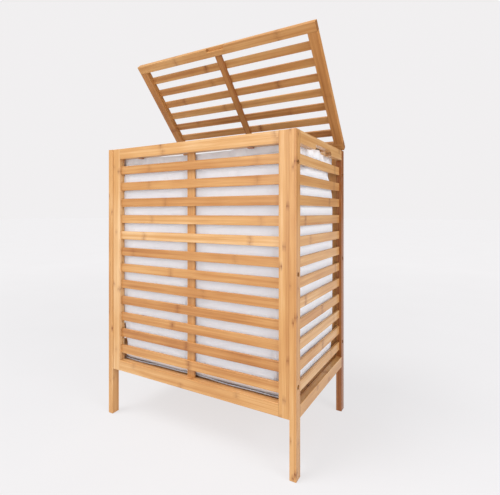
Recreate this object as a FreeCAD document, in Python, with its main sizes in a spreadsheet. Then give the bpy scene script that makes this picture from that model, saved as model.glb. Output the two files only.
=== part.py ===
import FreeCAD, Part
import os
import re

import Sketcher

# Slatted laundry hamper with a hinged lid, in millimetres: +X right, +Y back, +Z up.
# Two side panels (legs, rails and slats) are bolted to a front and a back panel
# (stiles, rails, slats and a centre stile). The lid is a slatted frame on two butt hinges,
# modelled standing open. The origin is on the floor, in the middle of the whole outline.

DIMENSIONS = [
    ("body_width", 506, "outer faces of the left and right legs"),
    ("body_depth", 312, "front faces of the front legs to rear faces of the rear legs"),
    ("body_height", 657, "floor to the top edge of the body"),
    ("body_forward", 4.98, "the body's middle lies this far in front of the origin"),
    ("leg_thick", 14, "leg and side rail thickness, along X"),
    ("leg_depth", 20, "leg width, along Y"),
    ("edge_round", 0.8, "eased long edges of every bar"),
    ("foot_chamfer", 0.6, "chamfer round the foot of each leg"),
    ("panel_bottom", 112, "floor to the lower edge of the panels"),
    ("panel_thick", 16, "front and back panel thickness"),
    ("panel_recess", 2, "panel face behind the outer faces of the legs"),
    ("stile_width", 23, "upright at each end of the front and back panels"),
    ("rail_height", 25, "top and bottom rails of all four panels"),
    ("slat_height", 20, "body slat height"),
    ("slat_thick", 5.5, "slat thickness, body and lid"),
    ("slat_pitch", 40, "body slat spacing"),
    ("slat_count", 12, "slats in each of the four panels"),
    ("slat_recess", 5.5, "slat face behind the panel face"),
    ("side_slat_recess", 6, "side slat face behind the leg face"),
    ("centre_stile_width", 20, "flat upright behind the middle of the slats"),
    ("centre_stile_thick", 5, "its thickness"),
    ("centre_stile_shift", -3.3, "how far the front panel's stands off the middle, along X"),
    ("tenon", 5, "length of each slat end in its mortise"),
    ("notch_length", 104, "hand-hold in the side top rail"),
    ("notch_height", 11, "hand-hold height above the rail's lower edge"),
    ("notch_round", 7, "radius of the hand-hold's upper corners"),
    ("dowel_diameter", 6, "glued dowels in the frame joints"),
    ("dowel_length", 24, "half of it in each piece"),
    ("dowel_spacing", 12, "the two dowels of a joint"),
    ("glue_gap", 0.06, "a hole is this much wider than its dowel or insert"),
    ("bolt_spacing", 211, "height between the bolts of one leg"),
    ("bolt_diameter", 5, "bolt shank"),
    ("bolt_head_diameter", 8, "bolt head"),
    ("bolt_head_length", 5, "bolt head"),
    ("bolt_shank_length", 20, "below the head"),
    ("bolt_hex", 2.3, "circumradius of the hexagonal socket"),
    ("bore_diameter", 8.6, "counterbore in the leg"),
    ("bore_depth", 9, "counterbore in the leg"),
    ("insert_diameter", 8, "threaded insert in the stile"),
    ("insert_length", 12, "threaded insert in the stile"),
    ("base_top", 133, "floor to the top of the base slats"),
    ("base_slat_thick", 6, "base slat thickness"),
    ("base_slat_width", 57, "base slat width"),
    ("base_slat_pitch", 59, "base slat spacing"),
    ("base_slat_count", 8, "base slats, front to back"),
    ("cleat_side", 12, "square cleat under the ends of the base slats"),
    ("liner_width", 466, "fabric bag, outside"),
    ("liner_depth", 264, "fabric bag, outside"),
    ("liner_top", 636, "floor to the hem of the bag"),
    ("liner_corner", 26, "radius of the bag's upright corners"),
    ("liner_wall", 1.5, "fabric bag wall"),
    ("peg_place", 151, "bag peg from the middle of the hamper, along X"),
    ("peg_diameter", 8, "bag peg's neck"),
    ("peg_length", 1.3, "bag peg's neck"),
    ("peg_head_diameter", 14, "bag peg's head"),
    ("peg_head_length", 1.7, "bag peg's head"),
    ("lid_width", 508, "lid, along X"),
    ("lid_length", 319, "lid, hinge side to free edge"),
    ("lid_thick", 15, "lid frame thickness"),
    ("lid_rail_width", 20.5, "free-edge rail and hinge-side rail"),
    ("lid_stile_width", 22, "lid frame sides"),
    ("lid_slat_width", 18.5, "lid slats"),
    ("lid_slat_count", 7, "lid slats"),
    ("lid_slat_recess", 8, "slat face above the underside of the lid frame"),
    ("lid_centre_width", 18, "flat bar across the underside of the lid slats"),
    ("lid_tenon_length", 8, "end tenons of the lid frame sides"),
    ("lid_tenon_width", 12, "end tenons of the lid frame sides"),
    ("lid_tenon_thick", 5, "end tenons of the lid frame sides"),
    ("pull_length", 50, "finger pull under the free edge"),
    ("pull_depth", 8, "finger pull, in from the free edge and up from the underside"),
    ("pull_round", 5, "radius of the finger pull's inner corners"),
    ("open_angle", 47.7, "how far the lid stands open, from closed"),
    ("lid_gap", 0.6, "closed lid above the body"),
    ("hinge_reach", 3, "hinge axis behind the back panel and the lid's rear edge"),
    ("hinge_place", 170, "hinge centre from the middle of the hamper"),
    ("hinge_length", 40, "hinge, along X"),
    ("hinge_knuckle", 13, "length of the lid leaf's middle knuckle"),
    ("knuckle_gap", 0.3, "between neighbouring knuckles"),
    ("knuckle_diameter", 5, "hinge knuckles"),
    ("pin_diameter", 2.4, "hinge pin"),
    ("pin_play", 0.1, "the knuckle bore is this much wider than the pin"),
    ("pin_head_diameter", 3.6, "domed ends of the hinge pin"),
    ("pin_head_length", 0.8, "domed ends of the hinge pin"),
    ("leaf_width", 12, "hinge leaf, in its mortise"),
    ("leaf_thick", 1.2, "hinge leaf"),
    ("screw_spacing", 13, "hinge screws"),
    ("screw_diameter", 3, "hinge screw shank"),
    ("screw_head_diameter", 5, "hinge screw countersunk head"),
    ("screw_length", 10, "hinge screw"),
]

NAMES = "|".join(name for name, value, note in DIMENSIONS)
ALIAS = re.compile(r"\b(" + NAMES + r")\b")

# Places that several pieces share, as expressions of the sheet's names.
FRONT = "(-body_depth / 2 - body_forward)"
BACK = "(body_depth / 2 - body_forward)"
PANEL_TALL = "(body_height - panel_bottom)"
PANEL_MID = "((body_height + panel_bottom) / 2)"
TOP_RAIL = "(body_height - rail_height / 2)"
LOW_RAIL = "(panel_bottom + rail_height / 2)"
SLATS_TALL = "((slat_count - 1) * slat_pitch)"
BETWEEN_STILES = "(body_width - 2 * leg_thick - 2 * stile_width)"
BETWEEN_LEGS = "(body_depth - 2 * leg_depth)"
HINGE_Y = "(body_depth / 2 - body_forward - panel_recess + hinge_reach)"
HINGE_Z = "(body_height + lid_gap / 2)"
LID_MID = "(-hinge_reach - lid_length / 2)"
LID_OPENING = "(lid_length - 2 * lid_rail_width)"
LID_FREE = "((lid_slat_count + 1))"
LID_PITCH = "((" + LID_OPENING + " + lid_slat_width) / " + LID_FREE + ")"

SIDES = {"left": -1, "right": 1}
PLANES = {"x": "YZ_Plane", "y": "XZ_Plane", "z": "XY_Plane"}
ORDER = "xyz"

doc = FreeCAD.newDocument("laundry_hamper")
sheet = doc.addObject("Spreadsheet::Sheet", "Dimensions")
nodes = []


def fill_sheet():
    """Write each driving dimension as a named cell."""
    for row, (name, value, note) in enumerate(DIMENSIONS, start=1):
        sheet.set(f"A{row}", name)
        sheet.set(f"B{row}", str(value))
        sheet.setAlias(f"B{row}", name)
        sheet.set(f"C{row}", note)
    doc.recompute()


def size(name):
    """A driving dimension as a number."""
    return float(sheet.get(name))


def bind(item, prop, text):
    """Bind one property to an expression written with the sheet's names."""
    item.setExpression(prop, ALIAS.sub(r"Dimensions.\1", text))


def place(item, spot):
    """Bind an item's position to three expressions."""
    for axis, text in zip(ORDER, spot):
        bind(item, f"Placement.Base.{axis}", text)


def place_on_lid(item, spot):
    """Bind an item's position and tilt: spot is measured from the hinge axis, lid closed."""
    x, y, z = spot
    item.Placement.Rotation = FreeCAD.Rotation(FreeCAD.Vector(-1, 0, 0), size("open_angle"))
    bind(item, "Placement.Rotation.Angle", "open_angle * 1deg")
    swing = "(open_angle * 1deg)"
    bind(item, "Placement.Base.x", x)
    bind(item, "Placement.Base.y", f"{HINGE_Y} + ({y}) * cos{swing} + ({z}) * sin{swing}")
    bind(item, "Placement.Base.z", f"{HINGE_Z} - ({y}) * sin{swing} + ({z}) * cos{swing}")


def new_body(label):
    body = doc.addObject("PartDesign::Body", label)
    body.Label = label
    return body


def origin_item(body, role):
    """One of the body's own origin planes or axes."""
    return next(item for item in body.Origin.OriginFeatures if item.Role == role)


def new_sketch(body, name, plane, offset):
    """A sketch on an origin plane, moved by three expressions in the sketch's own axes."""
    sketch = body.newObject("Sketcher::SketchObject", f"{body.Label}_{name}")
    sketch.AttachmentSupport = [(origin_item(body, plane), "")]
    sketch.MapMode = "FlatFace"
    for axis, text in zip(ORDER, offset):
        bind(sketch, f"AttachmentOffset.Base.{axis}", text)
    return sketch


def named_constraint(sketch, name, value_text, *terms):
    """A driving constraint bound to an expression."""
    index = sketch.addConstraint(Sketcher.Constraint(*terms))
    sketch.renameConstraint(index, name)
    bind(sketch, f"Constraints.{name}", value_text)


def rectangle(body, name, plane, width, height, offset=("0", "0", "0")):
    """A rectangle centred on the sketch's origin."""
    sketch = new_sketch(body, name, plane, offset)
    corners = [(-5, -5), (5, -5), (5, 5), (-5, 5)]
    points = [FreeCAD.Vector(x, y, 0) for x, y in corners]
    for index in range(4):
        sketch.addGeometry(Part.LineSegment(points[index], points[(index + 1) % 4]), False)
    for index in range(4):
        sketch.addConstraint(Sketcher.Constraint("Coincident", index, 2, (index + 1) % 4, 1))
        kind = ("Horizontal", "Vertical")[index % 2]
        sketch.addConstraint(Sketcher.Constraint(kind, index))
    sketch.addConstraint(Sketcher.Constraint("Symmetric", 0, 1, 2, 1, -1, 1))
    named_constraint(sketch, "width", width, "DistanceX", 0, 1, 0, 2, 10.0)
    named_constraint(sketch, "height", height, "DistanceY", 1, 1, 1, 2, 10.0)
    return sketch


def circle(body, name, plane, diameter, offset):
    """A circle centred on the sketch's origin."""
    sketch = new_sketch(body, name, plane, offset)
    sketch.addGeometry(Part.Circle(FreeCAD.Vector(), FreeCAD.Vector(0, 0, 1), 3), False)
    sketch.addConstraint(Sketcher.Constraint("Coincident", 0, 3, -1, 1))
    named_constraint(sketch, "diameter", diameter, "Diameter", 0, 6.0)
    return sketch


def hole_pair(body, name, plane, diameter, spacing, offset):
    """Two equal circles, one above and one below the sketch's origin."""
    sketch = new_sketch(body, name, plane, offset)
    for sign in (-1, 1):
        centre = FreeCAD.Vector(0, 5 * sign, 0)
        sketch.addGeometry(Part.Circle(centre, FreeCAD.Vector(0, 0, 1), 2), False)
    sketch.addConstraint(Sketcher.Constraint("PointOnObject", 0, 3, -2))
    sketch.addConstraint(Sketcher.Constraint("Symmetric", 0, 3, 1, 3, -1, 1))
    sketch.addConstraint(Sketcher.Constraint("Equal", 0, 1))
    named_constraint(sketch, "spacing", spacing, "DistanceY", 0, 3, 1, 3, 10.0)
    named_constraint(sketch, "diameter", diameter, "Diameter", 0, 4.0)
    return sketch


def pad(body, sketch, length):
    """Extrude a sketch equally to both sides of its plane."""
    feature = body.newObject("PartDesign::Pad", f"{sketch.Name}_pad")
    feature.Profile = sketch
    feature.SideType = "Symmetric"
    bind(feature, "Length", length)
    body.Tip = feature
    return feature


def pocket(body, sketch, depth):
    """Cut a sketch into the body, from its plane to the side where the body is."""
    solid = body.Tip
    feature = body.newObject("PartDesign::Pocket", f"{sketch.Name}_cut")
    feature.Profile = sketch
    bind(feature, "Length", depth)
    body.Tip = feature
    doc.recompute()
    if feature.Shape.Volume > solid.Shape.Volume - 1e-3:
        feature.Reversed = True
        doc.recompute()
    return feature


def repeat(body, feature, axis, pitch, count):
    """Repeat a feature along one of the body's axes."""
    pattern = body.newObject("PartDesign::LinearPattern", f"{feature.Name}_row")
    pattern.Originals = [feature]
    pattern.Direction = (origin_item(body, f"{axis.upper()}_Axis"), [""])
    pattern.Mode = "Spacing"
    bind(pattern, "Offset", pitch)
    bind(pattern, "Occurrences", count)
    body.Tip = pattern
    return pattern


def dress(body, kind, prop, value, wanted):
    """Round or chamfer the edges of the body's last feature that wanted() picks."""
    doc.recompute()
    base = body.Tip
    edges = [f"Edge{i}" for i, edge in enumerate(base.Shape.Edges, start=1) if wanted(edge)]
    feature = body.newObject(f"PartDesign::{kind}", f"{body.Label}_{kind.lower()}")
    feature.Base = (base, edges)
    bind(feature, prop, value)
    body.Tip = feature
    return feature


def runs_along(axis):
    """True for straight edges parallel to an axis."""
    which = ORDER.index(axis)

    def wanted(edge):
        ends = [vertex.Point for vertex in edge.Vertexes]
        if len(ends) < 2:
            return False
        return abs(abs((ends[1] - ends[0])[which]) - edge.Length) < 1e-6

    return wanted


def bar(label, run, sizes, spot, on_lid=False):
    """A straight bar centred on its own origin, its long edges eased."""
    body = new_body(label)
    across = [text for axis, text in zip(ORDER, sizes) if axis != run]
    section = rectangle(body, "section", PLANES[run], *across)
    pad(body, section, sizes[ORDER.index(run)])
    dress(body, "Fillet", "Radius", "edge_round", runs_along(run))
    if on_lid:
        place_on_lid(body, spot)
    else:
        place(body, spot)
    return body


def keep(item):
    """Count an item as one of the finished pieces."""
    nodes.append(item)
    return item


def group(label, items):
    """Identical loose pieces that share one node."""
    compound = doc.addObject("Part::Compound", label)
    compound.Label = label
    compound.Links = items
    return keep(compound)


def copies(master, spots, placer):
    """The master and its linked copies, one at each spot."""
    placer(master, spots[0])
    items = [master]
    for number, spot in enumerate(spots[1:], start=2):
        link = doc.addObject("App::Link", f"{master.Label}_{number:02d}")
        link.LinkedObject = master
        link.Placement = master.Placement
        placer(link, spot)
        items.append(link)
    return items


def dowel_holes(body, name, plane, spot):
    """The two dowel holes of a frame joint."""
    sketch = hole_pair(body, name, plane, "dowel_diameter + glue_gap", "dowel_spacing", spot)
    pocket(body, sketch, "dowel_length / 2 + 0.3")


def slat_mortises(body, plane, spot):
    """A column of mortises for the slat ends; spot is the lowest one."""
    sketch = rectangle(body, "mortise", plane, "slat_thick", "slat_height", spot)
    cut = pocket(body, sketch, "tenon")
    repeat(body, cut, "z", "slat_pitch", "slat_count")


def leg(side, end):
    """A leg of a side panel: slat mortises, dowel holes and three bolt holes."""
    sign = SIDES[side]
    inward = {"front": 1, "rear": -1}[end]
    x = f"{sign} * (body_width - leg_thick) / 2"
    y = f"{FRONT} + leg_depth / 2" if end == "front" else f"{BACK} - leg_depth / 2"
    sizes = ("leg_thick", "leg_depth", "body_height")
    body = bar(f"{side}_{end}_leg", "z", sizes, (x, y, "body_height / 2"))

    def at_foot(edge):
        return edge.BoundBox.ZMax < 1 - size("body_height") / 2

    dress(body, "Chamfer", "Size", "foot_chamfer", at_foot)
    # An XZ sketch looks along -Y, so its own third axis points to the front.
    face = f"{-inward} * leg_depth / 2"
    rise = f"{PANEL_MID} - body_height / 2"
    inset = f"{sign} * (leg_thick / 2 - side_slat_recess - slat_thick / 2)"
    slat_mortises(body, "XZ_Plane", (inset, f"{rise} - {SLATS_TALL} / 2", face))
    for name, height in (("top", TOP_RAIL), ("low", LOW_RAIL)):
        spot = ("0", f"{height} - body_height / 2", face)
        dowel_holes(body, f"{name}_dowels", "XZ_Plane", spot)
    outer = f"{sign} * leg_thick / 2"
    lowest_bolt = f"{rise} - bolt_spacing"
    bores = (
        ("bore", "bore_diameter", "bore_depth"),
        ("shank", "bolt_diameter + 0.4", "leg_thick"),
    )
    for name, diameter, depth in bores:
        sketch = circle(body, name, "YZ_Plane", diameter, ("0", lowest_bolt, outer))
        hole = pocket(body, sketch, depth)
        repeat(body, hole, "z", "bolt_spacing", "3")
    keep(body)


def side_rail(side, level):
    """A rail between the two legs of a side panel; the top one has the hand-hold."""
    sign = SIDES[side]
    height = {"top": TOP_RAIL, "bottom": LOW_RAIL}[level]
    spot = (f"{sign} * (body_width - leg_thick) / 2", "-body_forward", height)
    sizes = ("leg_thick", BETWEEN_LEGS, "rail_height")
    body = bar(f"{side}_{level}_rail", "y", sizes, spot)
    for name, end in (("front", 1), ("rear", -1)):
        place_of_holes = ("0", "0", f"{end} * {BETWEEN_LEGS} / 2")
        dowel_holes(body, f"{name}_dowels", "XZ_Plane", place_of_holes)
    if level == "top":
        spot = ("0", "-rail_height / 2", "leg_thick / 2")
        notch = rectangle(
            body, "hand_hold", "YZ_Plane", "notch_length", "2 * notch_height", spot
        )
        pocket(body, notch, "leg_thick")
        ceiling = size("notch_height") - size("rail_height") / 2

        def at_ceiling(edge):
            box = edge.BoundBox
            along_x = abs(box.XLength - size("leg_thick")) < 1e-6
            return along_x and abs(box.ZMax - ceiling) < 1e-6 and box.YLength < 1e-6

        dress(body, "Fillet", "Radius", "notch_round", at_ceiling)
    keep(body)


def side_panel(side):
    """Two legs, two rails and a column of slats."""
    sign = SIDES[side]
    for end in ("front", "rear"):
        leg(side, end)
    for level in ("top", "bottom"):
        side_rail(side, level)
    x = f"{sign} * (body_width / 2 - side_slat_recess - slat_thick / 2)"
    sizes = ("slat_thick", f"{BETWEEN_LEGS} + 2 * tenon", "slat_height")
    lowest = f"{PANEL_MID} - {SLATS_TALL} / 2"
    master = bar(f"{side}_slat", "y", sizes, (x, "-body_forward", lowest))
    count = int(size("slat_count"))
    spots = [(x, "-body_forward", f"{lowest} + {k} * slat_pitch") for k in range(count)]
    group(f"{side}_slats", copies(master, spots, place))


def panel_stile(panel, side, outward, middle):
    """An upright of the front or back panel: mortises, dowel holes and insert holes."""
    sign = SIDES[side]
    x = f"{sign} * (body_width / 2 - leg_thick - stile_width / 2)"
    sizes = ("stile_width", "panel_thick", PANEL_TALL)
    body = bar(f"{panel}_stile_{side}", "z", sizes, (x, middle, PANEL_MID))
    inner = f"{-sign} * stile_width / 2"
    outer = f"{sign} * stile_width / 2"
    slat_y = f"{outward} * (panel_thick / 2 - slat_recess - slat_thick / 2)"
    slat_mortises(body, "YZ_Plane", (slat_y, f"-{SLATS_TALL} / 2", inner))
    for name, height in (("top", TOP_RAIL), ("low", LOW_RAIL)):
        spot = ("0", f"{height} - {PANEL_MID}", inner)
        dowel_holes(body, f"{name}_dowels", "YZ_Plane", spot)
    # The bolts run in the middle of the legs, not in the middle of the panel.
    across = f"{outward} * (panel_thick / 2 + panel_recess - leg_depth / 2)"
    bores = (
        ("insert", "insert_diameter + glue_gap", "insert_length"),
        ("bolt", "bolt_diameter + 0.4", "insert_length + 4"),
    )
    for name, diameter, depth in bores:
        spot = (across, "-bolt_spacing", outer)
        sketch = circle(body, name, "YZ_Plane", diameter, spot)
        hole = pocket(body, sketch, depth)
        repeat(body, hole, "z", "bolt_spacing", "3")
    keep(body)


def panel_rail(panel, level, middle):
    """A rail between the stiles; the back panel's top rail also takes the hinges."""
    height = {"top": TOP_RAIL, "bottom": LOW_RAIL}[level]
    sizes = (BETWEEN_STILES, "panel_thick", "rail_height")
    body = bar(f"{panel}_{level}_rail", "x", sizes, ("0", middle, height))
    for name, end in (("left", -1), ("right", 1)):
        spot = ("0", "0", f"{end} * {BETWEEN_STILES} / 2")
        dowel_holes(body, f"{name}_dowels", "YZ_Plane", spot)
    if (panel, level) == ("back", "top"):
        hinge_seat(body, "panel_thick / 2 - leaf_width / 2", "rail_height / 2")
    keep(body)


def hinge_seat(body, y, face):
    """Two mortises for hinge leaves, each with its screw holes."""
    for side, sign in SIDES.items():
        x = f"{sign} * hinge_place"
        width = "hinge_length + 0.2"
        seat = rectangle(body, f"{side}_seat", "XY_Plane", width, "leaf_width + 0.2", (x, y, face))
        pocket(body, seat, "leaf_thick")
        first = f"{x} - screw_spacing"
        bore = "screw_diameter + 0.1"
        hole = circle(body, f"{side}_screws", "XY_Plane", bore, (first, y, face))
        cut = pocket(body, hole, "screw_length + 0.5")
        repeat(body, cut, "x", "screw_spacing", "3")


def panel(name, outward):
    """The front or back panel; outward is the sign of its outer face's direction."""
    edge = FRONT if outward < 0 else BACK
    middle = f"{edge} - {outward} * (panel_recess + panel_thick / 2)"
    slat_y = f"{edge} - {outward} * (panel_recess + slat_recess + slat_thick / 2)"
    for side in SIDES:
        panel_stile(name, side, outward, middle)
    for level in ("top", "bottom"):
        panel_rail(name, level, middle)
    inward = "(panel_recess + slat_recess + slat_thick + centre_stile_thick / 2)"
    tall = f"{PANEL_TALL} - 2 * rail_height"
    sizes = ("centre_stile_width", "centre_stile_thick", tall)
    shift = "centre_stile_shift" if outward < 0 else "0"
    spot = (shift, f"{edge} - {outward} * {inward}", PANEL_MID)
    keep(bar(f"{name}_centre_stile", "z", sizes, spot))
    sizes = (f"{BETWEEN_STILES} + 2 * tenon", "slat_thick", "slat_height")
    highest = f"{PANEL_MID} + {SLATS_TALL} / 2"
    count = int(size("slat_count"))
    spots = [("0", slat_y, f"{highest} - {k} * slat_pitch") for k in range(count)]
    if name == "front":
        for number, spot in enumerate(spots, start=1):
            keep(bar(f"front_slat_{number:02d}", "x", sizes, spot))
    else:
        master = bar("back_slat", "x", sizes, spots[0])
        group("back_slats", copies(master, spots, place))


def rod(label, axis, diameter, length):
    """A plain cylinder centred on its own origin, lying along one axis."""
    body = new_body(label)
    profile = circle(body, "section", PLANES[axis], diameter, ("0", "0", "0"))
    pad(body, profile, length)
    return body


def dowels():
    """Two dowels in each joint of the four panels."""
    signs = (-1, 1)
    heights = [
        f"{rail} + {sign} * dowel_spacing / 2" for rail in (TOP_RAIL, LOW_RAIL) for sign in signs
    ]
    x = f"{BETWEEN_STILES} / 2"
    middles = (
        f"{FRONT} + panel_recess + panel_thick / 2",
        f"{BACK} - panel_recess - panel_thick / 2",
    )
    panel_spots = [
        (f"{sign} * {x}", y, z) for sign in signs for y in middles for z in heights
    ]
    side_x = "(body_width - leg_thick) / 2"
    side_spots = [
        (f"{sx} * {side_x}", f"{sy} * {BETWEEN_LEGS} / 2 - body_forward", z)
        for sx in signs for sy in signs for z in heights
    ]
    across = rod("panel_dowel", "x", "dowel_diameter", "dowel_length")
    along = rod("side_dowel", "y", "dowel_diameter", "dowel_length")
    items = copies(across, panel_spots, place) + copies(along, side_spots, place)
    group("frame_dowels", items)


def bolt(side):
    """A socket-head bolt; its origin is under the head and its shank points inwards."""
    sign = SIDES[side]
    head = doc.addObject("Part::Cylinder", f"{side}_bolt_head")
    bind(head, "Radius", "bolt_head_diameter / 2")
    bind(head, "Height", "bolt_head_length")
    shank = doc.addObject("Part::Cylinder", f"{side}_bolt_shank")
    bind(shank, "Radius", "bolt_diameter / 2")
    bind(shank, "Height", "bolt_shank_length")
    bind(shank, "Placement.Base.z", "-bolt_shank_length")
    blank = doc.addObject("Part::Fuse", f"{side}_bolt_blank")
    blank.Base = head
    blank.Tool = shank
    socket = doc.addObject("Part::Prism", f"{side}_bolt_socket")
    socket.Polygon = 6
    bind(socket, "Circumradius", "bolt_hex")
    bind(socket, "Height", "bolt_head_length")
    bind(socket, "Placement.Base.z", "bolt_head_length / 2")
    cut = doc.addObject("Part::Cut", f"{side}_bolt")
    cut.Base = blank
    cut.Tool = socket
    cut.Placement.Rotation = FreeCAD.Rotation(FreeCAD.Vector(0, 1, 0), 90 * sign)
    return cut


def insert(side):
    """A threaded insert: a sleeve lying along X."""
    body = rod(f"{side}_insert", "x", "insert_diameter", "insert_length")
    bore = circle(body, "bore", "YZ_Plane", "bolt_diameter + 0.1", ("0", "0", "insert_length / 2"))
    pocket(body, bore, "insert_length")
    return body


def corner_fasteners():
    """Three bolts through each leg, into inserts in the stile behind it."""
    bolts = []
    inserts = []
    bolt_y = (f"{FRONT} + leg_depth / 2", f"{BACK} - leg_depth / 2")
    heights = [f"{PANEL_MID} + {k} * bolt_spacing" for k in (-1, 0, 1)]
    for side, sign in SIDES.items():
        x = f"{sign} * (body_width / 2 - bore_depth)"
        spots = [(x, y, z) for y in bolt_y for z in heights]
        bolts += copies(bolt(side), spots, place)
        x = f"{sign} * (body_width / 2 - leg_thick - insert_length / 2)"
        spots = [(x, y, z) for y in bolt_y for z in heights]
        inserts += copies(insert(side), spots, place)
    group("corner_bolts", bolts)
    group("corner_inserts", inserts)


def base():
    """Cleats on the front and back bottom rails, and the base slats that lie on them."""
    cleat_z = "base_top - base_slat_thick - cleat_side / 2"
    step = "(panel_recess + panel_thick + cleat_side / 2)"
    sizes = (BETWEEN_STILES, "cleat_side", "cleat_side")
    keep(bar("base_cleat_front", "x", sizes, ("0", f"{FRONT} + {step}", cleat_z)))
    keep(bar("base_cleat_back", "x", sizes, ("0", f"{BACK} - {step}", cleat_z)))
    sizes = (
        "base_slat_width",
        "body_depth - 2 * (panel_recess + panel_thick) - 2",
        "base_slat_thick",
    )
    first = "-(base_slat_count - 1) * base_slat_pitch / 2"
    z = "base_top - base_slat_thick / 2"
    count = int(size("base_slat_count"))
    spots = [(f"{first} + {k} * base_slat_pitch", "-body_forward", z) for k in range(count)]
    master = bar("base_slat", "y", sizes, spots[0])
    group("base_slats", copies(master, spots, place))


def liner():
    """The fabric bag, open at the top, standing on the base slats."""
    body = new_body("liner_bag")
    outline = rectangle(body, "outline", "XY_Plane", "liner_width", "liner_depth")
    tall = "(liner_top - base_top - 0.4)"
    pad(body, outline, tall)
    rounded = dress(body, "Fillet", "Radius", "liner_corner", runs_along("z"))
    doc.recompute()
    faces = enumerate(rounded.Shape.Faces, start=1)
    mouth = [f"Face{i}" for i, face in faces if face.normalAt(0, 0).z > 0.99]
    shell = body.newObject("PartDesign::Thickness", "liner_bag_wall")
    shell.Base = (rounded, mouth)
    shell.Reversed = True
    bind(shell, "Value", "liner_wall")
    body.Tip = shell
    place(body, ("0", "-body_forward", f"liner_top - {tall} / 2"))
    keep(body)


def pegs():
    """Four round-headed pegs under the front and back top rails, for the bag's loops."""
    neck = doc.addObject("Part::Cylinder", "peg_neck")
    bind(neck, "Radius", "peg_diameter / 2")
    bind(neck, "Height", "peg_length")
    head = doc.addObject("Part::Cylinder", "peg_head")
    bind(head, "Radius", "peg_head_diameter / 2")
    bind(head, "Height", "peg_head_length")
    bind(head, "Placement.Base.z", "peg_length")
    blank = doc.addObject("Part::Fuse", "peg_blank")
    blank.Base = neck
    blank.Tool = head
    doc.recompute()
    tip = size("peg_length") + size("peg_head_length")
    edges = enumerate(blank.Shape.Edges, start=1)
    rims = [(i, 0.6, 0.6) for i, edge in edges if edge.BoundBox.ZMin > tip - 1e-6]
    eased = doc.addObject("Part::Fillet", "peg")
    eased.Base = blank
    eased.Edges = rims
    # Each peg is modelled pointing up and turned over.
    eased.Placement.Rotation = FreeCAD.Rotation(FreeCAD.Vector(1, 0, 0), 180)
    inset = "(panel_recess + panel_thick / 2)"
    middles = (f"{FRONT} + {inset}", f"{BACK} - {inset}")
    z = "body_height - rail_height"
    spots = [(f"{sign} * peg_place", y, z) for sign in SIDES.values() for y in middles]
    group("liner_pegs", copies(eased, spots, place))


def lid_rail(label, y, inward):
    """A full-width lid rail with a mortise for each frame side."""
    z = "lid_gap / 2 + lid_thick / 2"
    sizes = ("lid_width", "lid_rail_width", "lid_thick")
    body = bar(label, "x", sizes, ("0", y, z), on_lid=True)
    x = "(lid_width / 2 - lid_stile_width / 2)"
    for side, sign in SIDES.items():
        spot = (f"{sign} * {x}", "0", f"{-inward} * lid_rail_width / 2")
        mortise = rectangle(
            body, f"{side}_mortise", "XZ_Plane", "lid_tenon_width", "lid_tenon_thick", spot
        )
        pocket(body, mortise, "lid_tenon_length + 0.1")
    return body


def lid_front_rail():
    """The free-edge rail, rebated underneath as a finger pull."""
    y = "-hinge_reach - lid_length + lid_rail_width / 2"
    body = lid_rail("lid_front_rail", y, 1)
    spot = ("0", "-lid_rail_width / 2", "-lid_thick / 2")
    pull = rectangle(body, "pull", "XY_Plane", "pull_length", "2 * pull_depth", spot)
    pocket(body, pull, "pull_depth")
    depth = size("pull_depth") - size("lid_rail_width") / 2

    def at_inner_corner(edge):
        box = edge.BoundBox
        upright = abs(box.ZLength - size("pull_depth")) < 1e-6
        return upright and abs(box.YMax - depth) < 1e-6 and box.XLength < 1e-6

    dress(body, "Fillet", "Radius", "pull_round", at_inner_corner)
    keep(body)


def lid_rear_rail():
    """The hinge-side rail, with the seats of the hinge leaves underneath."""
    body = lid_rail("lid_rear_rail", "-hinge_reach - lid_rail_width / 2", -1)
    hinge_seat(body, "lid_rail_width / 2 - leaf_width / 2", "-lid_thick / 2")
    keep(body)


def lid_stile(side):
    """A side of the lid frame: slat mortises inside and a tenon at each end."""
    sign = SIDES[side]
    x = f"{sign} * (lid_width - lid_stile_width) / 2"
    spot = (x, LID_MID, "lid_gap / 2 + lid_thick / 2")
    sizes = ("lid_stile_width", LID_OPENING, "lid_thick")
    body = bar(f"lid_stile_{side}", "y", sizes, spot, on_lid=True)
    tenon = rectangle(body, "tenon", "XZ_Plane", "lid_tenon_width", "lid_tenon_thick")
    pad(body, tenon, f"{LID_OPENING} + 2 * lid_tenon_length")
    first = f"-(lid_slat_count - 1) / 2 * {LID_PITCH}"
    z = "lid_slat_recess + slat_thick / 2 - lid_thick / 2"
    mortise = rectangle(
        body, "mortise", "YZ_Plane", "lid_slat_width", "slat_thick",
        (first, z, f"{-sign} * lid_stile_width / 2"),
    )
    cut = pocket(body, mortise, "tenon")
    repeat(body, cut, "y", LID_PITCH, "lid_slat_count")
    keep(body)


def lid():
    """Two rails, two sides, seven slats and the flat bar across the slats."""
    lid_front_rail()
    lid_rear_rail()
    for side in SIDES:
        lid_stile(side)
    sizes = ("lid_centre_width", LID_OPENING, "centre_stile_thick")
    z = "lid_gap / 2 + lid_slat_recess - centre_stile_thick / 2"
    keep(bar("lid_centre_stile", "y", sizes, ("0", LID_MID, z), on_lid=True))
    sizes = ("lid_width - 2 * lid_stile_width + 2 * tenon", "lid_slat_width", "slat_thick")
    z = "lid_gap / 2 + lid_slat_recess + slat_thick / 2"
    count = int(size("lid_slat_count"))
    for number in range(1, count + 1):
        steps = (count + 1) / 2 - number
        y = f"{LID_MID} + {steps} * {LID_PITCH}"
        keep(bar(f"lid_slat_{number}", "x", sizes, ("0", y, z), on_lid=True))


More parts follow.
